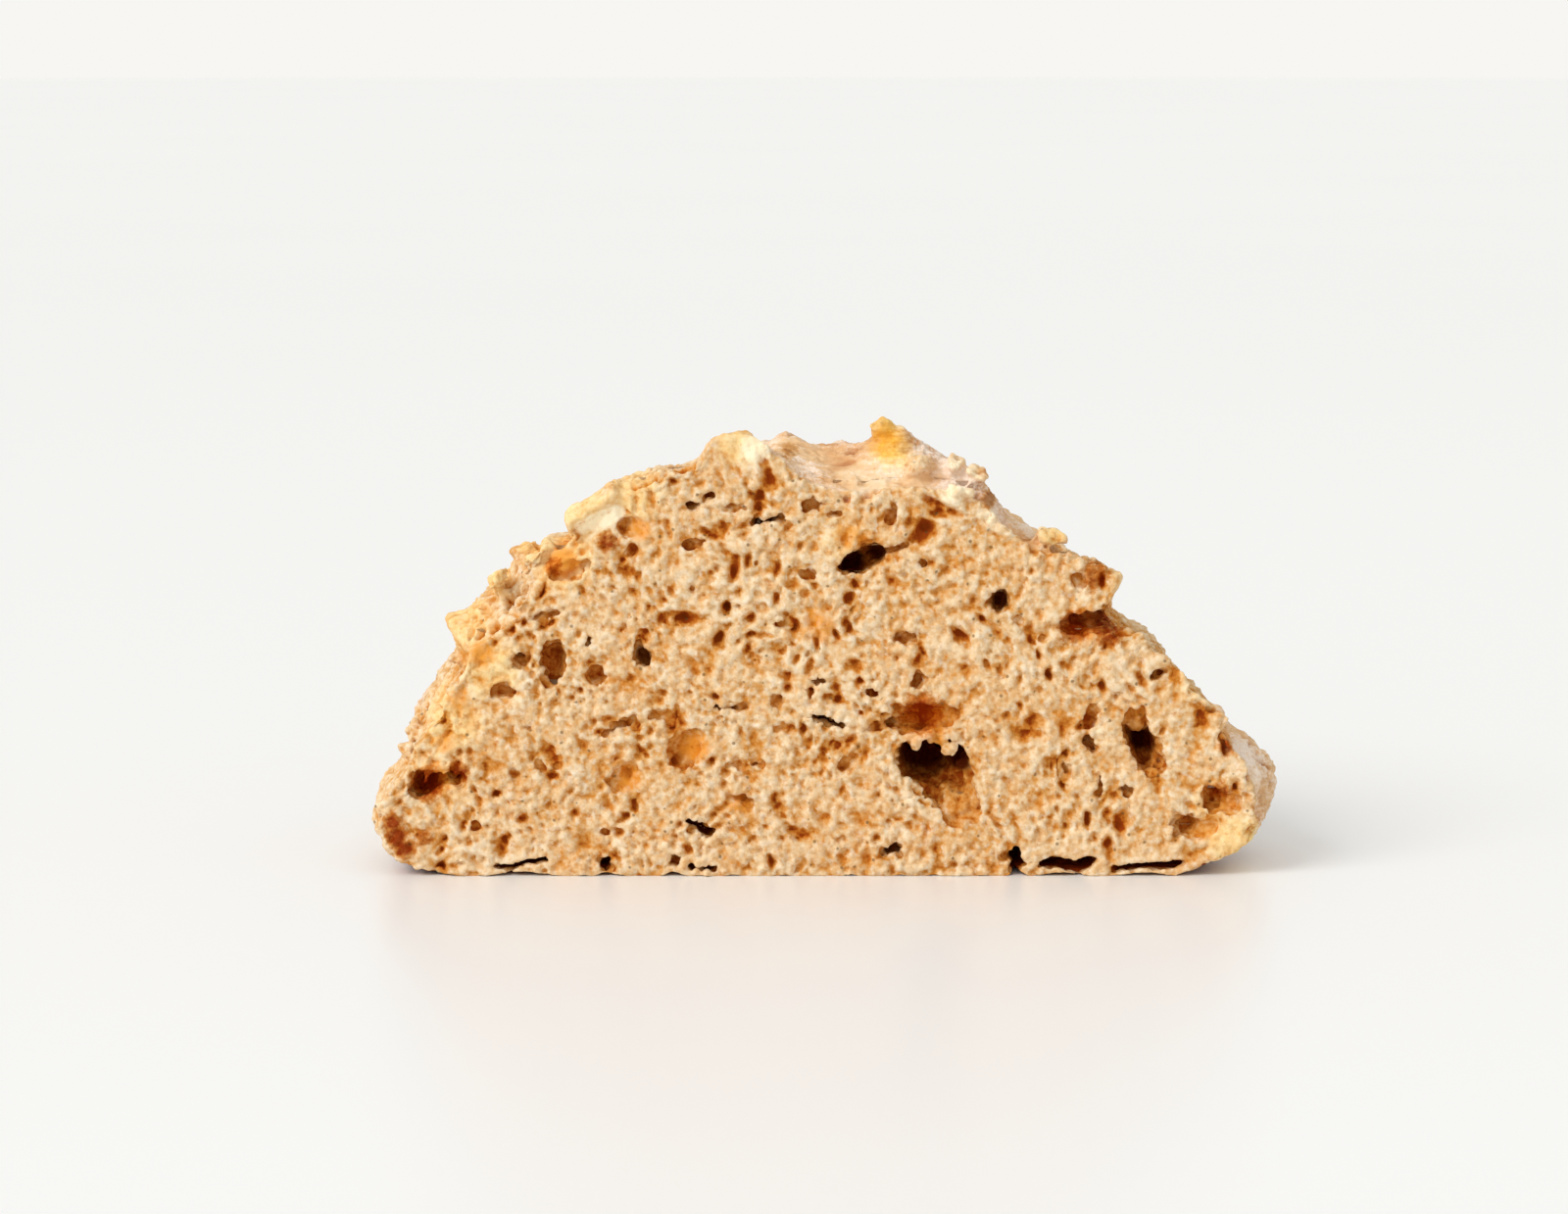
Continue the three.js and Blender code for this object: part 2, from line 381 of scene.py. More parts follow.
# Ragged crumbs that hang into the large openings: across, up, half the row's length, and how many.
FRAYED_RIMS = [
    (11.2, 15.2, 2.8, 7),
    (3.4, 36.5, 1.7, 5),
    (33.2, 19.4, 1.2, 4),
    (-41.0, 11.7, 2.4, 6),
    (28.0, 15.6, 0.8, 3),
]
# Single nubs, torn flaps and slopes within the holes:
# across, up, behind the cut, width, height, depth and tilt.
NUBS = [
    (-25.0, 40.3, 0.9, 9.0, 2.6, 4.0, 34),
    (-31.4, 35.2, 1.8, 3.8, 1.6, 3.5, 10),
    (-40.9, 26.9, 1.8, 2.9, 2.2, 3.5, 40),
    (-35.3, 32.3, 1.8, 3.2, 1.8, 3.5, 45),
    (-10.0, 46.5, 1.6, 4.8, 1.6, 3.5, 4),
    (6.2, 47.7, 6.0, 3.4, 3.6, 3.2, 0),
    (16.0, 43.2, 2.6, 2.7, 2.5, 3.0, -20),
    (23.6, 36.4, 1.6, 3.8, 1.6, 3.0, -14),
    (30.4, 31.2, 1.4, 2.8, 4.0, 3.0, 0),
    (44.9, 4.8, 1.2, 4.2, 1.8, 3.5, 55),
    (43.2, 2.9, 1.6, 3.6, 2.0, 3.5, 20),
    (14.6, 7.2, 3.6, 6.8, 5.2, 5.2, -30),
    (17.3, 12.9, 1.2, 6.0, 3.8, 3.6, -62),
    (9.7, 14.5, 0.4, 1.1, 2.0, 1.3, 0),
    (12.6, 14.1, 0.4, 1.2, 2.8, 1.3, 8),
    (13.7, 13.9, 0.4, 1.0, 2.2, 1.2, -8),
    (33.6, 17.0, 2.4, 2.6, 3.0, 2.6, 10),
    (-19.6, 37.6, 1.5, 4.4, 3.2, 2.4, 20),
    (-27.8, 34.0, 1.9, 4.6, 3.0, 2.4, 15),
    (-8.4, 42.6, 0.9, 2.4, 3.6, 1.6, 0),
]
NUBS_ON_SKIN = 18
NUB_SEED = 5
BARE_RIGHT = 20 * MM  # no small nubs farther right than this,
BARE_TOP = 44 * MM  # nor higher than this,
FLAP_MIDDLE = -25 * MM  # nor beside the flap
FLAP_HALF = 4.5 * MM

CAMERA_RISE = math.radians(8)
CAMERA_AWAY = 0.45
CAMERA_AIM = Vector((-4.5 * MM, CUT, 29.4 * MM))
CAMERA_LENS = 96.4
CAMERA_SENSOR = 36


# ---------------------------------------------------------------- shapes

def new_object(name, bm):
    """A new object of a bmesh, which is freed."""
    mesh = bpy.data.meshes.new(name)
    bm.to_mesh(mesh)
    bm.free()
    made = bpy.data.objects.new(name, mesh)
    bpy.context.scene.collection.objects.link(made)
    return made


def merged_copy(node):
    """A bmesh of a CAD node with the corners of its loose triangles joined."""
    bm = bmesh.new()
    bm.from_mesh(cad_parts[node].data)
    bmesh.ops.remove_doubles(bm, verts=bm.verts, dist=MM / 1000)
    return bm


def settle(made):
    """Works an object's modifiers into its mesh."""
    graph = bpy.context.evaluated_depsgraph_get()
    rough = made.data
    made.data = bpy.data.meshes.new_from_object(made.evaluated_get(graph))
    made.modifiers.clear()
    bpy.data.meshes.remove(rough)


def refill(made, size):
    """Rebuilds a mesh as one even skin of small squares."""
    refine = made.modifiers.new("refill", "REMESH")
    refine.mode = "VOXEL"
    refine.voxel_size = size
    settle(made)


def soften(made, rounds):
    """Rounds the rims of a mesh, apart from what stands on the floor."""
    free = made.vertex_groups.new(name="free")
    free.add([vert.index for vert in made.data.vertices if vert.co.z > 2 * GRAIN], 1, "REPLACE")
    smooth = made.modifiers.new("soften", "SMOOTH")
    smooth.factor = 0.5
    smooth.iterations = rounds
    smooth.vertex_group = free.name
    settle(made)
    made.vertex_groups.clear()


def carve(made, tool, operation="DIFFERENCE"):
    """Takes one closed mesh out of another, or joins them."""
    cut = made.modifiers.new("carve", "BOOLEAN")
    cut.operation = operation
    cut.solver = "MANIFOLD"
    cut.object = tool
    settle(made)


def discard(made):
    """Deletes an object with its mesh."""
    mesh = made.data
    bpy.data.objects.remove(made)
    bpy.data.meshes.remove(mesh)


def add_bubble(bm, middle, size, tilt, unevenness=0.45):
    """An uneven ball, as wide, deep and high as size, turned in the plane of the cut face."""
    ball = bmesh.ops.create_icosphere(bm, subdivisions=2, radius=1)["verts"]
    turn = Matrix.Rotation(math.radians(-tilt), 3, "Y")
    for vert in ball:
        swell = 1 + unevenness * noise.noise(vert.co * 1.4 + middle / MM)
        vert.co = turn @ (vert.co * swell * size / 2) + middle


def cut_place(skin, rng):
    """A place on the cut face, by chance."""
    while True:
        x = rng.uniform(LOW.x, HIGH.x)
        z = rng.uniform(LOW.z, HIGH.z)
        hit = skin.ray_cast(Vector((x, CUT - MM, z)), Vector((0, 1, 0)))[0]
        if hit is not None and hit.y < CUT + 0.1 * MM:
            return Vector((x, CUT, z))


def pore_bubbles(skin, rng):
    """The middles, sizes and tilts of the bubbles that lie at random."""
    made = []
    for count, least, most, flattest, roundest in PORE_KINDS:
        for _ in range(count):
            middle = cut_place(skin, rng)
            width = least + (most - least) * rng.random() ** 1.6
            deep = width * rng.uniform(0.8, 1.4)
            size = Vector((width, deep, width * rng.uniform(flattest, roundest)))
            tilt = rng.gauss(12, 35) + 70 * between(middle.x, 8 * MM, 22 * MM)
            middle.y += rng.uniform(-0.3, 0.25) * width
            made.append((middle, size, tilt))
            for _ in range(rng.choice((0, 1, 1, 2))):
                way = rng.uniform(0, math.tau)
                step = Vector((math.cos(way), 0.15, math.sin(way))) * width * 0.5
                made.append((middle + step, size * rng.uniform(0.45, 0.8), tilt + rng.gauss(0, 40)))
    return made


def slit_bubbles(rng):
    """Three bubbles in a row for each single opening."""
    made = []
    for across, up, width, height, depth, tilt in SLITS:
        turn = Matrix.Rotation(math.radians(-tilt), 3, "Y")
        long_way = Vector((width, 0, 0)) if width > height else Vector((0, 0, height))
        short_way = Vector((0, 0, height)) if width > height else Vector((width, 0, 0))
        for lobe in (-0.3, 0, 0.3):
            offset = turn @ (long_way * lobe + short_way * rng.uniform(-0.15, 0.15))
            size = long_way * 0.6 + short_way + Vector((0, 2 * depth, 0))
            middle = Vector((0, CUT, 0)) + (Vector((across, 0, up)) + offset) * MM
            made.append((middle, size * MM, tilt + rng.gauss(0, 12)))
    return made


def rim_crumbs(rng):
    """Crumbs that hang from the upper rims of the large openings."""
    made = []
    for across, up, half_row, count in FRAYED_RIMS:
        for place in range(count):
            along = 2 * place / (count - 1) - 1
            x = across + half_row * along + rng.uniform(-0.35, 0.35)
            z = up - 0.25 * half_row * along**2 + rng.uniform(-0.5, 0.5)
            size = Vector((rng.uniform(0.7, 1.1), rng.uniform(0.7, 1.2), rng.uniform(0.9, 2.0))) * MM
            middle = Vector((x * MM, CUT + rng.uniform(0.2, 0.9) * MM, z * MM))
            made.append((middle, size, rng.gauss(0, 25)))
    return made


def skin_nubs(skin, rng):
    """Small nubs and torn bits on the outer skin near the cut."""
    middle = (LOW + HIGH) / 2
    made = []
    while len(made) < NUBS_ON_SKIN:
        way = rng.uniform(0.02 * math.pi, 0.98 * math.pi)
        behind = rng.uniform(0.4, 9) * MM
        start = Vector((middle.x, CUT + behind, HIGH.z / 8))
        hit = skin.ray_cast(start, Vector((math.cos(way), 0, math.sin(way))))[0]
        if hit is None or hit.x > BARE_RIGHT or hit.z > BARE_TOP:
            continue
        if abs(hit.x - FLAP_MIDDLE) < FLAP_HALF:
            continue
        width = (1.8 + 1.6 * rng.random() ** 2) * MM
        size = Vector((width * rng.uniform(1.0, 1.5), width * 1.2, width * rng.uniform(0.6, 0.9)))
        made.append((hit, size, rng.uniform(-60, 60)))
    return made


def single_nubs():
    """The nubs that have a place of their own."""
    made = []
    for across, up, behind, width, height, depth, tilt in NUBS:
        middle = Vector((across * MM, CUT + behind * MM, up * MM))
        made.append((middle, Vector((width, depth, height)) * MM, tilt))
    return made


def ball_mesh(name, bubbles):
    """One mesh of all the uneven balls listed."""
    whole = bmesh.new()
    carrier = bpy.data.meshes.new("some_bubbles")
    for first in range(0, len(bubbles), BUBBLES_AT_ONCE):
        some = bmesh.new()
        for middle, size, tilt in bubbles[first : first + BUBBLES_AT_ONCE]:
            add_bubble(some, middle, size, tilt)
        some.to_mesh(carrier)
        some.free()
        whole.from_mesh(carrier)
    bpy.data.meshes.remove(carrier)
    return new_object(name, whole)


def skin_tree(solid):
    """A search tree of the solid's outer skin, without its cut face and the walls of its holes."""
    whole = BVHTree.FromBMesh(solid)
    outer = bmesh.new()
    outer.from_mesh(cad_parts[NODE].data)
    walls = []
    for face in outer.faces:
        middle = face.calc_center_median()
        on_cut = face.normal.y < -0.99 and middle.y < CUT + 0.1 * MM
        outward = Vector((middle.x, max(0, middle.y), middle.z - HIGH.z / 4)).normalized()
        met = whole.ray_cast(middle + face.normal * MM / 20, outward, 30 * MM)[0]
        if on_cut or met is not None:
            walls.append(face)
    bmesh.ops.delete(outer, geom=walls, context="FACES")
    tree = BVHTree.FromBMesh(outer)
    outer.free()
    return tree


def between(value, low, high):
    """0 at low, 1 at high, and smooth between them."""
    t = min(1, max(0, (value - low) / (high - low)))
    return t * t * (3 - 2 * t)


def drift(co):
    """A vector that wanders slowly from place to place."""
    return Vector([noise.noise(co + Vector((start, 5, 9))) for start in (0, 31, 67)])


def foam_hollow(co):
    """How far the foam's cells sink below their walls here."""
    slowness, reach = FOAM_BEND
    fray_slowness, fray_reach = FRAY
    bent = co + drift(co / slowness) * reach + drift(co / fray_slowness) * fray_reach
    openness = 0.4 + 0.9 * between(noise.noise(co / (5 * MM)), -0.5, 0.4)
    upright = between(co.x + 3 * MM * noise.noise(co / (4 * MM)), 16 * MM, 22 * MM)
    depth = 0
    for wide, high, share in ((1, 1.15, 1 - upright), (0.9, 1.9, upright)):
        if share == 0:
            continue
        for size, deepest, rarity in FOAM:
            apart, middles = noise.voronoi(Vector((bent.x / wide, bent.y, bent.z / high)) / size)
            chance = 0.5 + 0.5 * noise.cell(middles[0] * 13.7)
            depth += share * deepest * chance**rarity * between(apart[0], 0.56, 0.16) * openness
    return depth


def crumb_rise(co):
    """The crumb's own unevenness, apart from its foam: lumps packed side by side."""
    bent = co + drift(co / (1.4 * MM)) * 0.3 * MM
    rise = noise.noise(co / (5 * MM)) * 0.25 * MM
    for size, height in LUMPS:
        apart = noise.voronoi(bent / size + LUMPS_START)[0]
        strength = 0.8 + 0.7 * noise.noise(co / (2.3 * MM) + Vector((1, 4, size / MM)))
        rise += height * strength * (1 - 2.4 * apart[0] * apart[0])
    return rise


def torn_rise(co):
    """The coarse lumps of the torn band along the left of the cut."""
    apart = noise.voronoi(co / (2.4 * MM) + Vector((2, 8, 4)))[0]
    return 0.7 * MM * (0.4 - 1.6 * apart[0] * apart[0])


def crust_rise(co):
    """The crust's swells, its wrinkles, which run along the roll, its cracks and its grain."""
    slow = noise.noise(co / (6 * MM)) * 0.6 * MM
    middle = noise.noise(co / (2.4 * MM) + Vector((9, 2, 5))) * 0.3 * MM
    bent = co + drift(co / (3 * MM)) * 1.2 * MM
    wrinkle = abs(noise.noise(Vector((bent.x / 6, bent.y / 1.6, bent.z / 0.9)) / MM))
    creased = Vector((bent.x / 3.5, bent.y / 0.9, bent.z / 0.5)) / MM
    crease = abs(noise.noise(creased + Vector((4, 4, 4))))
    apart = noise.voronoi(Vector((bent.x / 9, bent.y / 6, bent.z / 5)) / MM)[0]
    crack = between(apart[1] - apart[0], 0.07, 0.0) * between(noise.noise(co / (8 * MM)), 0.0, 0.35)
    blister = noise.voronoi(bent / (1.3 * MM))[0][0]
    fine = noise.noise(co / (0.7 * MM)) * 0.12 * MM
    folds = wrinkle * 0.5 * MM + crease * 0.35 * MM
    return slow + middle + fine - folds - crack * 0.6 * MM - blister * 0.22 * MM


def skin_depth(co, skin):
    """How far a point lies from the outer skin, and how far within the whole roll, 0 outside it."""
    place, normal, _, near = skin.find_nearest(co)
    inside = near if (co - place).dot(normal) < 0 else 0
    return near, min(max(0, co.y - CUT), inside)


def crust_share(co, near):
    """1 on the baked outer skin, 0 on the crumb and where the skin is torn along the cut."""
    behind = co.y - CUT
    if behind < CRUST_BACK[0] or near > CRUST_DEPTH[0]:
        return 0.0
    crown = between(co.x, *TOP_CRUST_LEFT) * between(co.x, *TOP_CRUST_RIGHT)
    top = crown * between(co.z, *TOP_CRUST_UP)
    right = between(co.x, *END_CRUST_LEFT) * between(co.z, *END_CRUST_UP)
    right_flank = between(co.x, *RIGHT_FLANK_LEFT) * between(co.z, *RIGHT_FLANK_UP)
    left_flank = between(co.x, *LEFT_FLANK_RIGHT)
    torn = MM * max(RIGHT_TEAR * right_flank, LEFT_TEAR * left_flank)
    far = between(behind - torn + 4 * MM * noise.noise(co / (4 * MM)), *TEAR_BACK)
    baked = max(top, right, far)
    across, up = NOTCH_PLACE
    notch = between(math.hypot(co.x - across, NOTCH_SLIMNESS * (co.z - up)), *NOTCH_REACH)
    return baked * (1 - notch) * between(near, *CRUST_DEPTH) * between(behind, *CRUST_BACK)


def spot_share(co, spots, crust=0):
    """How strongly any of the spots marks the roll here, near its cut face."""
    shorter = TINTS_SHORTER_ON_CRUST * crust
    gone, whole = TINTS_FADE
    fade = between(co.y - CUT, gone - shorter, whole - shorter)
    if fade == 0:
        return 0
    x, z = co.x / MM, co.z / MM
    share = 0
    for across, up, reach, strength in spots:
        far = 1.5 * reach
        if abs(x - across) < far and abs(z - up) < far:
            share = max(share, strength * between(math.hypot(x - across, z - up), far, 0.3 * reach))
    return share * fade


def lift(co):
    """How far the underside stands clear of the floor here."""
    near_edge = between(co.y - CUT, *LIFT_BACK) * between(co.z, *LIFT_UP)
    if near_edge == 0:
        return 0.0
    raised = 0.25 * max(0, noise.noise(Vector((co.x / (1.8 * MM), 0, 4))))
    for across, half_width, height in LIFTS:
        raised = max(raised, height * between(abs(co.x / MM - across), half_width, 0))
    return raised * near_edge * MM


def swell(co):
    """How the outline is drawn out or in here, near the cut."""
    behind = co.y - CUT
    outward = Vector((co.x, 0, co.z - HIGH.z / 4)).normalized()
    push = 0
    for spots, share in (
        (SWELLS, between(behind, *SWELLS_FADE)),
        (LIPS, between(behind, *LIPS_FADE)),
    ):
        if share == 0:
            continue
        for across, up, reach, far in spots:
            away = math.hypot(co.x / MM - across, co.z / MM - up)
            push += share * far * between(away, 1.8 * reach, 0.2 * reach)
    return outward * push * MM


def open_roll(solid, skin):
    """The whole roll as one fine skin, with its openings carved and its nubs joined on."""
    rng = random.Random(PORE_SEED)
    pores = pore_bubbles(BVHTree.FromBMesh(solid), rng)
    bubbles = ball_mesh("bubbles", pores + slit_bubbles(rng))
    rng = random.Random(NUB_SEED)
    nubs = ball_mesh("nubs", rim_crumbs(rng) + skin_nubs(skin, rng) + single_nubs())
    refill(bubbles, GRAIN)
    refill(nubs, GRAIN)
    roll = new_object("roll", solid)
    refill(roll, GRAIN)
    carve(roll, bubbles)
    carve(roll, nubs, "UNION")
    discard(bubbles)
    discard(nubs)
    refill(roll, GRAIN)
    keep_largest(roll)
    soften(roll, SOFTENING)
    return roll


def surface_move(vert, skin):
    """The move that a point of the roll has still to make, and how far its relief rises there."""
    co = vert.co
    base = between(co.z, *FOOT_UP) * between(vert.normal.z, -0.5, -0.9)
    near, within = skin_depth(co, skin)
    crust = crust_share(co, near)
    torn = spot_share(co, TINTS["gold"]) * (1 - crust)
    amber = AMBER_CALM * spot_share(co, TINTS["amber"])
    drawn = max(amber, SMOOTH_CALM * spot_share(co, TINTS["smooth"]))
    calm = max(DEEP_CALM * between(within, *DEEP), drawn, TORN_CALM * torn)
    foam = foam_hollow(co) * (1 - 0.8 * crust)
    rise = crumb_rise(co) * (1 - crust) + crust_rise(co) * crust
    rise += torn_rise(co) * torn
    move = vert.normal * (rise - foam) * (1 - base) * (1 - calm)
    move += swell(co)
    move.z += lift(co)
    return move, (rise - foam) * (1 - calm)


def shape_roll():
    """The open roll, with its points' moves and heights stored on it, and its skin's search tree."""
    solid = merged_copy(NODE)
    skin = skin_tree(solid)
    roll = open_roll(solid, skin)
    mesh = roll.data
    moves = []
    heights = []
    for vert in mesh.vertices:
        move, height = surface_move(vert, skin)
        moves.extend(move)
        heights.append(height / MM)
    mesh.attributes.new("move", "FLOAT_VECTOR", "POINT").data.foreach_set("vector", moves)
    mesh.attributes.new("height", "FLOAT", "POINT").data.foreach_set("value", heights)
    return roll, skin


def thin_out(piece, faces):
    """Leaves about so many triangles on a piece, most of them near the cut and round its edge."""
    mesh = piece.data
    group = piece.vertex_groups.new(name="keep")
    for vert, place in zip(mesh.vertices, mesh.attributes["seam"].data):
        far = between(vert.co.y - CUT, 3 * MM, 12 * MM)
        weight = 0.0 if place.value > 0.5 else 1 - NEAR_SHARE * (1 - far) / PENALTY
        group.add([vert.index], weight, "REPLACE")
    thin = piece.modifiers.new("thin", "DECIMATE")
    thin.ratio = faces / len(mesh.polygons)
    thin.vertex_group = "keep"
    thin.vertex_group_factor = PENALTY
    thin.use_collapse_triangulate = True
    settle(piece)
    piece.vertex_groups.clear()
    relax(piece)
    piece.data.attributes.remove(piece.data.attributes["seam"])


def relax(piece):
    """Draws out the folds of a piece's skin, apart from its seam."""
    bm = bmesh.new()
    bm.from_mesh(piece.data)
    seam = bm.verts.layers.float["seam"]
    for _ in range(RELAXING):
        bm.normal_update()
        folded = set()
        for edge in bm.edges:
            first, second = edge.link_faces
            if first.normal.dot(second.normal) < 0:
                folded.update(vert for vert in edge.verts if vert[seam] < 0.5)
        bmesh.ops.smooth_vert(
            bm,
            verts=list(folded),
            factor=0.5,
            use_axis_x=True,
            use_axis_y=True,
            use_axis_z=True,
        )
    bm.to_mesh(piece.data)
    bm.free()


def keep_largest(made):
    """Deletes whatever has come loose from the roll."""
    bm = bmesh.new()
    bm.from_mesh(made.data)
    waiting = set(bm.verts)
    largest = set()
    while waiting:
        island = set()
        edge_of_island = [waiting.pop()]
        while edge_of_island:
            vert = edge_of_island.pop()
            island.add(vert)
            for edge in vert.link_edges:
                other = edge.other_vert(vert)
                if other in waiting:
                    waiting.remove(other)
                    edge_of_island.append(other)
        if len(island) > len(largest):
            largest = island
    loose = [vert for vert in bm.verts if vert not in largest]
    bmesh.ops.delete(bm, geom=loose, context="VERTS")
    bm.to_mesh(made.data)
    bm.free()


def cut_part(roll, name, outward):
    """The part of the roll on one side of the seam's plane, closed there, with each point moved."""
    bm = bmesh.new()
    bm.from_mesh(roll.data)
    for face in bm.faces:
        face.smooth = True
    everything = bm.verts[:] + bm.edges[:] + bm.faces[:]
    place = Vector((0, CUT + CRUMB_DEPTH, 0))
    cut = bmesh.ops.bisect_plane(
        bm, geom=everything, dist=MM / 10000, plane_co=place, plane_no=outward, clear_outer=True
    )
    rims = [item for item in cut["geom_cut"] if isinstance(item, bmesh.types.BMEdge)]
    seam = bm.verts.layers.float.new("seam")
    for edge in rims:
        for vert in edge.verts:
            vert[seam] = 1
    bmesh.ops.triangulate(bm, faces=bm.faces[:])
    filled = bmesh.ops.triangle_fill(bm, edges=rims, normal=outward)
    for item in filled["geom"]:
        if isinstance(item, bmesh.types.BMFace):
            item.smooth = False
    moved = bm.verts.layers.float_vector["move"]
    for vert in bm.verts:
        vert.co += vert[moved]
        vert.co.z = max(0, vert.co.z)
    bm.verts.layers.float_vector.remove(moved)
    return new_object(name, bm)


def split_roll(roll):
    """Two pieces of the roll that meet behind the crumb's relief."""
    front = cut_part(roll, "crumb_face", Vector((0, 1, 0)))
    back = cut_part(roll, "baked_back", Vector((0, -1, 0)))
    discard(roll)
    thin_out(front, FRONT_FACES)
    thin_out(back, BACK_FACES)
    return front, back


def mark_skin(piece, skin):
    """Stores how deep each point lies below the roll's first surface, its crust, and its tints with
    the painted shade among them.

    The underside is brown where it stands clear of the floor: the colour of its baked base, with
    painted shade in the gaps beneath it.
    """
    marks = {"depth": [], "crust": []}
    for name in TINTS:
        marks[name] = []
    for vert in piece.data.vertices:
        near, within = skin_depth(vert.co - swell(vert.co), skin)
        crust = crust_share(vert.co, near)
        marks["depth"].append(within / DEPTH_SCALE)
        marks["crust"].append(crust)
        for name, spots in TINTS.items():
            marks[name].append(spot_share(vert.co, spots, crust))
        # Low on the roll, behind the cut face: the baked base's brown together with painted shade in
        # the gaps along the floor.
        under = between(vert.co.z, 2.4 * MM, 0.8 * MM) * between(vert.co.y - CUT, 0.7 * MM, 1.8 * MM)
        marks["brown"][-1] = max(marks["brown"][-1], under)
    for name, values in marks.items():
        layer = piece.data.attributes.new(name, "FLOAT", "POINT")
        layer.data.foreach_set("value", values)


# ---------------------------------------------------------------- finishes

class Value:
    """A socket of a finish. Arithmetic on it adds Math nodes to the finish."""

    def __init__(self, finish, socket):
        self.finish = finish
        self.socket = socket

    def _math(self, operation, first, second):
        return self.finish.node("ShaderNodeMath", {"operation": operation}, {0: first, 1: second})

    def __add__(self, other):
        return self._math("ADD", self, other)

    def __radd__(self, other):
        return self._math("ADD", other, self)

    def __sub__(self, other):
        return self._math("SUBTRACT", self, other)

    def __rsub__(self, other):
        return self._math("SUBTRACT", other, self)

    def __mul__(self, other):
        return self._math("MULTIPLY", self, other)

    def __rmul__(self, other):
        return self._math("MULTIPLY", other, self)


class Finish:
    """A procedural material and the few ways of adding nodes that these finishes need."""

    def __init__(self, name):
        self.material = bpy.data.materials.new(name)
        self.material.use_nodes = True
        self.tree = self.material.node_tree
        self.tree.nodes.clear()
        self.place = Value(self, self.tree.nodes.new("ShaderNodeTexCoord").outputs["Object"])

    def node(self, kind, settings=None, inputs=None, output=0):
        """Adds a node: its settings come first, then the values and links of its sockets."""
        made = self.tree.nodes.new(kind)
        for name, value in (settings or {}).items():
            if name == "stops":
                ramp = made.color_ramp
                while len(ramp.elements) < len(value):
                    ramp.elements.new(0.5)
                for element, (position, colour) in zip(ramp.elements, value):
                    element.position = position
                    element.color = (*colour, 1)
            else:
                setattr(made, name, value)
        for key, value in (inputs or {}).items():
            if isinstance(value, Value):
                self.tree.links.new(value.socket, made.inputs[key])
            else:
                made.inputs[key].default_value = value
        return Value(self, made.outputs[output]) if made.outputs else None

    def scaled_place(self, size, stretch, start):
        """The place on the object, in steps of a size that may be stretched along each axis."""
        scale = [1 / (size * s) for s in stretch]
        inputs = {"Vector": self.place, "Scale": scale, "Location": start}
        return self.node("ShaderNodeMapping", {}, inputs)

    def noise(self, size, detail=2, roughness=0.5, stretch=(1, 1, 1), start=(0, 0, 0)):
        place = self.scaled_place(size, stretch, start)
        inputs = {"Vector": place, "Scale": 1, "Detail": detail, "Roughness": roughness}
        return self.node("ShaderNodeTexNoise", {}, inputs)

    def cells(self, size, stretch=(1, 1, 1), start=(0, 0, 0)):
        place = self.scaled_place(size, stretch, start)
        inputs = {"Vector": place, "Scale": 1}
        return self.node("ShaderNodeTexVoronoi", {"feature": "F1"}, inputs, "Distance")

    def step(self, value, low, high):
        return self.node(
            "ShaderNodeMapRange",
            {"interpolation_type": "SMOOTHSTEP"},
            {"Value": value, "From Min": low, "From Max": high},
        )

    def ramp(self, value, stops):
        return self.node("ShaderNodeValToRGB", {"stops": stops}, {"Fac": value})

    def mix(self, factor, first, second, blend="MIX"):
        if not isinstance(first, Value):
            first = (*first, 1)
        if not isinstance(second, Value):
            second = (*second, 1)
        settings = {"data_type": "RGBA", "blend_type": blend}
        return self.node("ShaderNodeMix", settings, {0: factor, 6: first, 7: second}, 2)

    def attribute(self, name):
        return self.node("ShaderNodeAttribute", {"attribute_name": name}, {}, "Fac")

    def finish(self, colour, roughness, height, **constants):
        """Ends the material with its shader, whose constants are named with underscores."""
        bumpy = {"Strength": 0.6, "Distance": 0.15 * MM, "Height": height}
        bump = self.node("ShaderNodeBump", {}, bumpy)
        inputs = {"Base Color": colour, "Roughness": roughness, "Normal": bump}
        for name, value in constants.items():
            inputs[name.replace("_", " ")] = value
        shader = self.node("ShaderNodeBsdfPrincipled", {}, inputs)
        self.node("ShaderNodeOutputMaterial", {}, {"Surface": shader})
        return self.material


def srgb(red, green, blue):
    """A colour given as on a swatch, from 0 to 255, as light."""
    return tuple(
        c / 255 / 12.92 if c <= 10 else ((c / 255 + 0.055) / 1.055) ** 2.4 for c in (red, green, blue)
    )


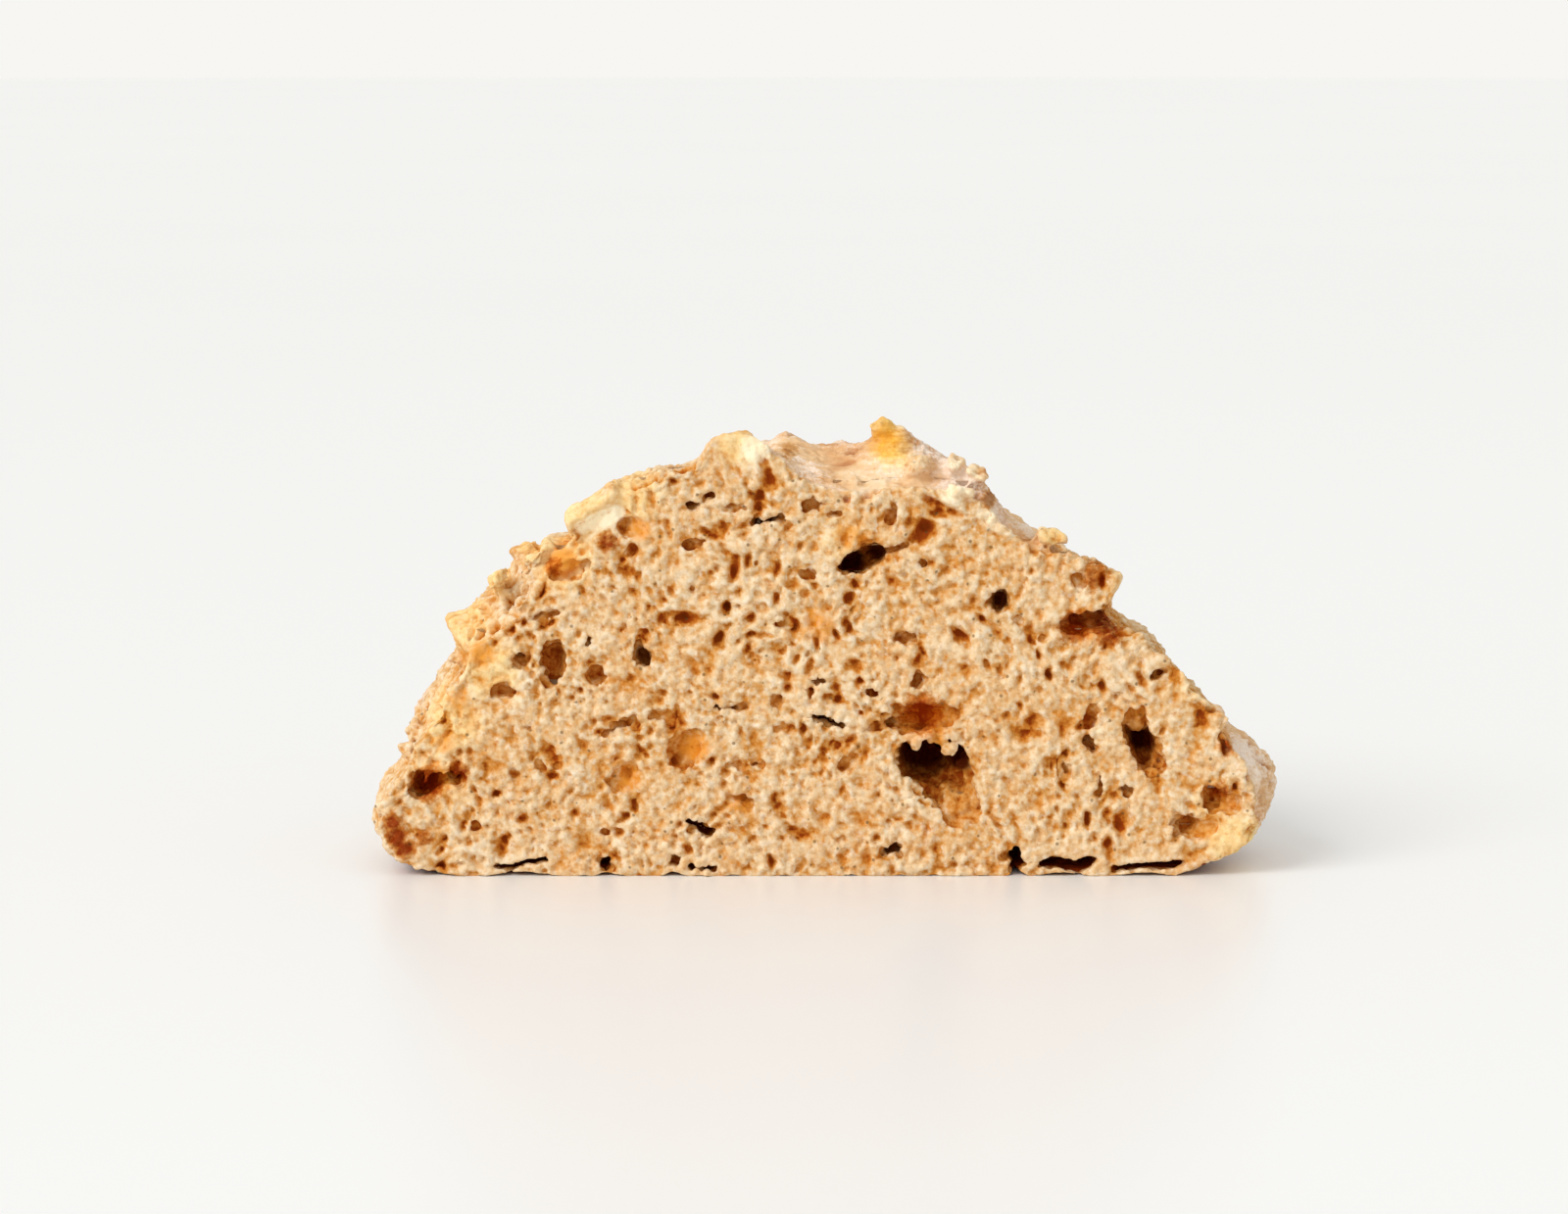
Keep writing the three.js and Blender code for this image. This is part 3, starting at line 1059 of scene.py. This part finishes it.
def bread_finish():
    """Wholemeal crumb inside and floured crust outside, by what is stored on the pieces, with painted
    shade in the crumb's pits, hollows and openings and painted highlight on its lumps.
    """
    f = Finish("wholemeal_bread")
    depth = f.attribute("depth")
    height = f.attribute("height")
    crust = f.attribute("crust")
    blotch = f.noise(3.5 * MM, 3)
    patch = f.noise(1.2 * MM, 2, start=(3, 1, 7))
    speck = f.noise(0.6 * MM, 2, start=(1, 8, 2))
    chalk = f.step(f.noise(0.8 * MM, 2, start=(7, 2, 6)), 0.54, 0.68)
    fray = f.noise(0.9 * MM, 3, start=(5, 5, 1))
    gilt = f.step(f.attribute("gold") + (fray - 0.5) * 0.9, 0.1, 1.0)
    # Painted warm shade, orange-brown, in the listed hollows.
    warm_hollow_shade = f.step(f.attribute("amber") + (fray - 0.5) * 0.7, 0.15, 0.85)
    cream = f.step(f.attribute("pale") + (fray - 0.5) * 0.7, 0.3, 0.8)
    ragged = f.noise(0.7 * MM, 3, 0.6, start=(8, 3, 3))
    # Toasted spots together with painted shadow: under the flap, the knob and the chunk, in a dish,
    # and in the gaps of the underside.
    toast_and_shade = f.attribute("brown") + (ragged - 0.5) * 1.3
    toasted_and_shaded = f.step(toast_and_shade, 0.05, 0.45)
    scorched_and_shaded = f.step(toast_and_shade, 0.35, 0.85)
    # Painted shade, near black, deep in the listed openings and the gaps along the floor.
    painted_opening_shade = f.step(f.attribute("dark"), 0.1, 0.8) * f.step(depth, 0.08, 0.5)
    drawn = f.attribute("smooth")

    # Painted shade: the crumb is darker and more orange-brown the deeper it lies within the roll. By
    # its relief's height it is painted darker in its pits, as painted shade, and lighter on its lumps,
    # as painted highlight.
    hollow_shade = f.step(depth, 0.0, 0.25) * 0.26 + f.step(depth, 0.25, 0.95) * 0.26
    grainy = (patch - 0.5) * 0.4 + (speck - 0.5) * 0.8
    tone = 0.6 + height * 0.43 - hollow_shade + grainy + gilt * 0.16 + drawn * 0.1
    crumb = f.ramp(
        tone,
        [
            (0.0, srgb(146, 64, 17)),
            (0.14, srgb(176, 99, 30)),
            (0.3, srgb(199, 132, 56)),
            (0.44, srgb(210, 155, 90)),
            (0.58, srgb(218, 179, 130)),
            (0.75, srgb(230, 203, 164)),
            (1.0, srgb(239, 222, 195)),
        ],
    )
    crumb = f.mix(f.step(blotch, 0.4, 0.62), crumb, (1.0, 0.93, 0.84), "MULTIPLY")
    crumb = f.mix(chalk * f.step(tone, 0.4, 0.6) * 0.35, crumb, srgb(238, 226, 208))
    bran = f.step(f.cells(1.9 * MM, start=(3, 3, 3)), 0.13, 0.07)
    inside = f.mix(bran * 0.7, crumb, srgb(112, 84, 48))
    inside = f.mix(gilt, inside, (1.06, 0.97, 0.7), "MULTIPLY")
    # The hollows' painted warm shade.
    inside = f.mix(warm_hollow_shade * 0.85, inside, srgb(226, 146, 46))
    inside = f.mix(cream * 0.85, inside, srgb(255, 241, 208))
    # Toasted spots and painted shadow, brown and darker brown.
    inside = f.mix(toasted_and_shaded, inside, (0.7, 0.4, 0.16), "MULTIPLY")
    inside = f.mix(scorched_and_shaded, inside, (0.5, 0.2, 0.14), "MULTIPLY")
    # The painted shade of the deep openings.
    inside = f.mix(painted_opening_shade, inside, (0.13, 0.045, 0.035), "MULTIPLY")

    streak = f.noise(1.0 * MM, 3, 0.6, stretch=(4, 2, 0.5), start=(2, 2, 2))
    powder = f.noise(0.35 * MM, 2, 0.6, start=(6, 1, 3))
    oven = f.noise(9 * MM, 2, start=(4, 7, 2)) + (streak - 0.5) * 0.6
    baked = f.ramp(
        oven + height * 0.16,
        [
            (0.25, srgb(194, 140, 92)),
            (0.42, srgb(217, 172, 125)),
            (0.58, srgb(228, 191, 146)),
            (0.75, srgb(236, 208, 170)),
        ],
    )
    dusting = f.noise(6 * MM, 3, start=(9, 9, 1)) + (streak - 0.5) * 0.4 + (powder - 0.5) * 0.5
    outside = f.mix(f.step(dusting + height * 0.12, 0.38, 0.68), baked, srgb(241, 223, 205))
    outside = f.mix(cream * 0.7, outside, srgb(245, 230, 214))
    outside = f.mix(gilt, outside, (1.06, 0.96, 0.46), "MULTIPLY")
    # The hollows' painted warm shade on the crust as well.
    outside = f.mix(warm_hollow_shade, outside, (1.0, 0.76, 0.32), "MULTIPLY")
    # Toasted spots and painted shadow on the crust as well.
    outside = f.mix(toasted_and_shaded, outside, (0.8, 0.6, 0.36), "MULTIPLY")
    outside = f.mix(scorched_and_shaded, outside, (0.62, 0.5, 0.45), "MULTIPLY")
    colour = f.mix(crust, inside, outside)
    grain = f.noise(0.4 * MM, 3, 0.6)
    return f.finish(colour, 0.85, grain, Specular_IOR_Level=0.02)


# ---------------------------------------------------------------- stage

def stage_finish():
    """Nearly plain white, a little glossy."""
    f = Finish("studio_white")
    shade = f.noise(300 * MM, 1)
    colour = f.mix(f.step(shade, 0.2, 0.8), (0.885, 0.885, 0.875), (0.895, 0.895, 0.885))
    inputs = {"Base Color": colour, "Roughness": 0.32, "Specular IOR Level": 0.3}
    shader = f.node("ShaderNodeBsdfPrincipled", {}, inputs)
    f.node("ShaderNodeOutputMaterial", {}, {"Surface": shader})
    return f.material


def build_stage():
    """A round white floor that reaches far past the light."""
    bm = bmesh.new()
    bmesh.ops.create_circle(bm, cap_ends=True, segments=64, radius=FLOOR_RADIUS)
    floor = new_object("studio_floor", bm)
    floor.data.materials.append(stage_finish())


def add_light(name, kind, place, power, spread):
    """A white lamp that shines from its place towards the roll's foot."""
    light = bpy.data.lights.new(name, kind)
    light.energy = power
    if kind == "SUN":
        light.angle = spread
    else:
        light.shape = "DISK"
        light.size = spread
    lamp = bpy.data.objects.new(name, light)
    lamp.location = place
    lamp.rotation_mode = "QUATERNION"
    lamp.rotation_quaternion = (-Vector(place)).to_track_quat("-Z", "Y")
    lamp.visible_camera = False
    bpy.context.scene.collection.objects.link(lamp)


def build_light():
    """A white studio, brightest at its walls, with one large soft lamp high on the left."""
    world = bpy.data.worlds.new("studio")
    world.use_nodes = True
    tree = world.node_tree
    way = tree.nodes.new("ShaderNodeTexCoord")
    split = tree.nodes.new("ShaderNodeSeparateXYZ")
    ramp = tree.nodes.new("ShaderNodeValToRGB")
    tree.links.new(way.outputs["Generated"], split.inputs[0])
    tree.links.new(split.outputs["Z"], ramp.inputs[0])
    ramp.color_ramp.elements[0].position = 0.05
    ramp.color_ramp.elements[0].color = (*WALL_WHITE, 1)
    ramp.color_ramp.elements[1].position = 0.6
    ramp.color_ramp.elements[1].color = (*CEILING_WHITE, 1)
    tree.links.new(ramp.outputs["Color"], tree.nodes["Background"].inputs["Color"])
    bpy.context.scene.world = world
    add_light("key", "SUN", (-0.70, -0.52, 0.66), 1.7, math.radians(32))
    add_light("front", "AREA", (-0.25, -0.9, 0.35), 0.75, 0.5)


def build_camera():
    """The view of the cut face from a little above."""
    scene = bpy.context.scene
    data = bpy.data.cameras.new("camera")
    data.lens = CAMERA_LENS
    data.sensor_width = CAMERA_SENSOR
    camera = bpy.data.objects.new("camera", data)
    away = Vector((0, -math.cos(CAMERA_RISE), math.sin(CAMERA_RISE)))
    camera.location = CAMERA_AIM + away * CAMERA_AWAY
    camera.rotation_mode = "QUATERNION"
    camera.rotation_quaternion = (CAMERA_AIM - camera.location).to_track_quat("-Z", "Y")
    scene.collection.objects.link(camera)
    scene.camera = camera
    scene.view_settings.view_transform = "Standard"
    scene.view_settings.look = "None"


def build_roll():
    """The two visible pieces, in place of the plain solid."""
    roll, skin = shape_roll()
    front, back = split_roll(roll)
    finish = bread_finish()
    for piece in (front, back):
        mark_skin(piece, skin)
        piece.data.materials.append(finish)
        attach(piece, "root")
        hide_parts(NODE)


build_camera()
build_stage()
build_light()
build_roll()
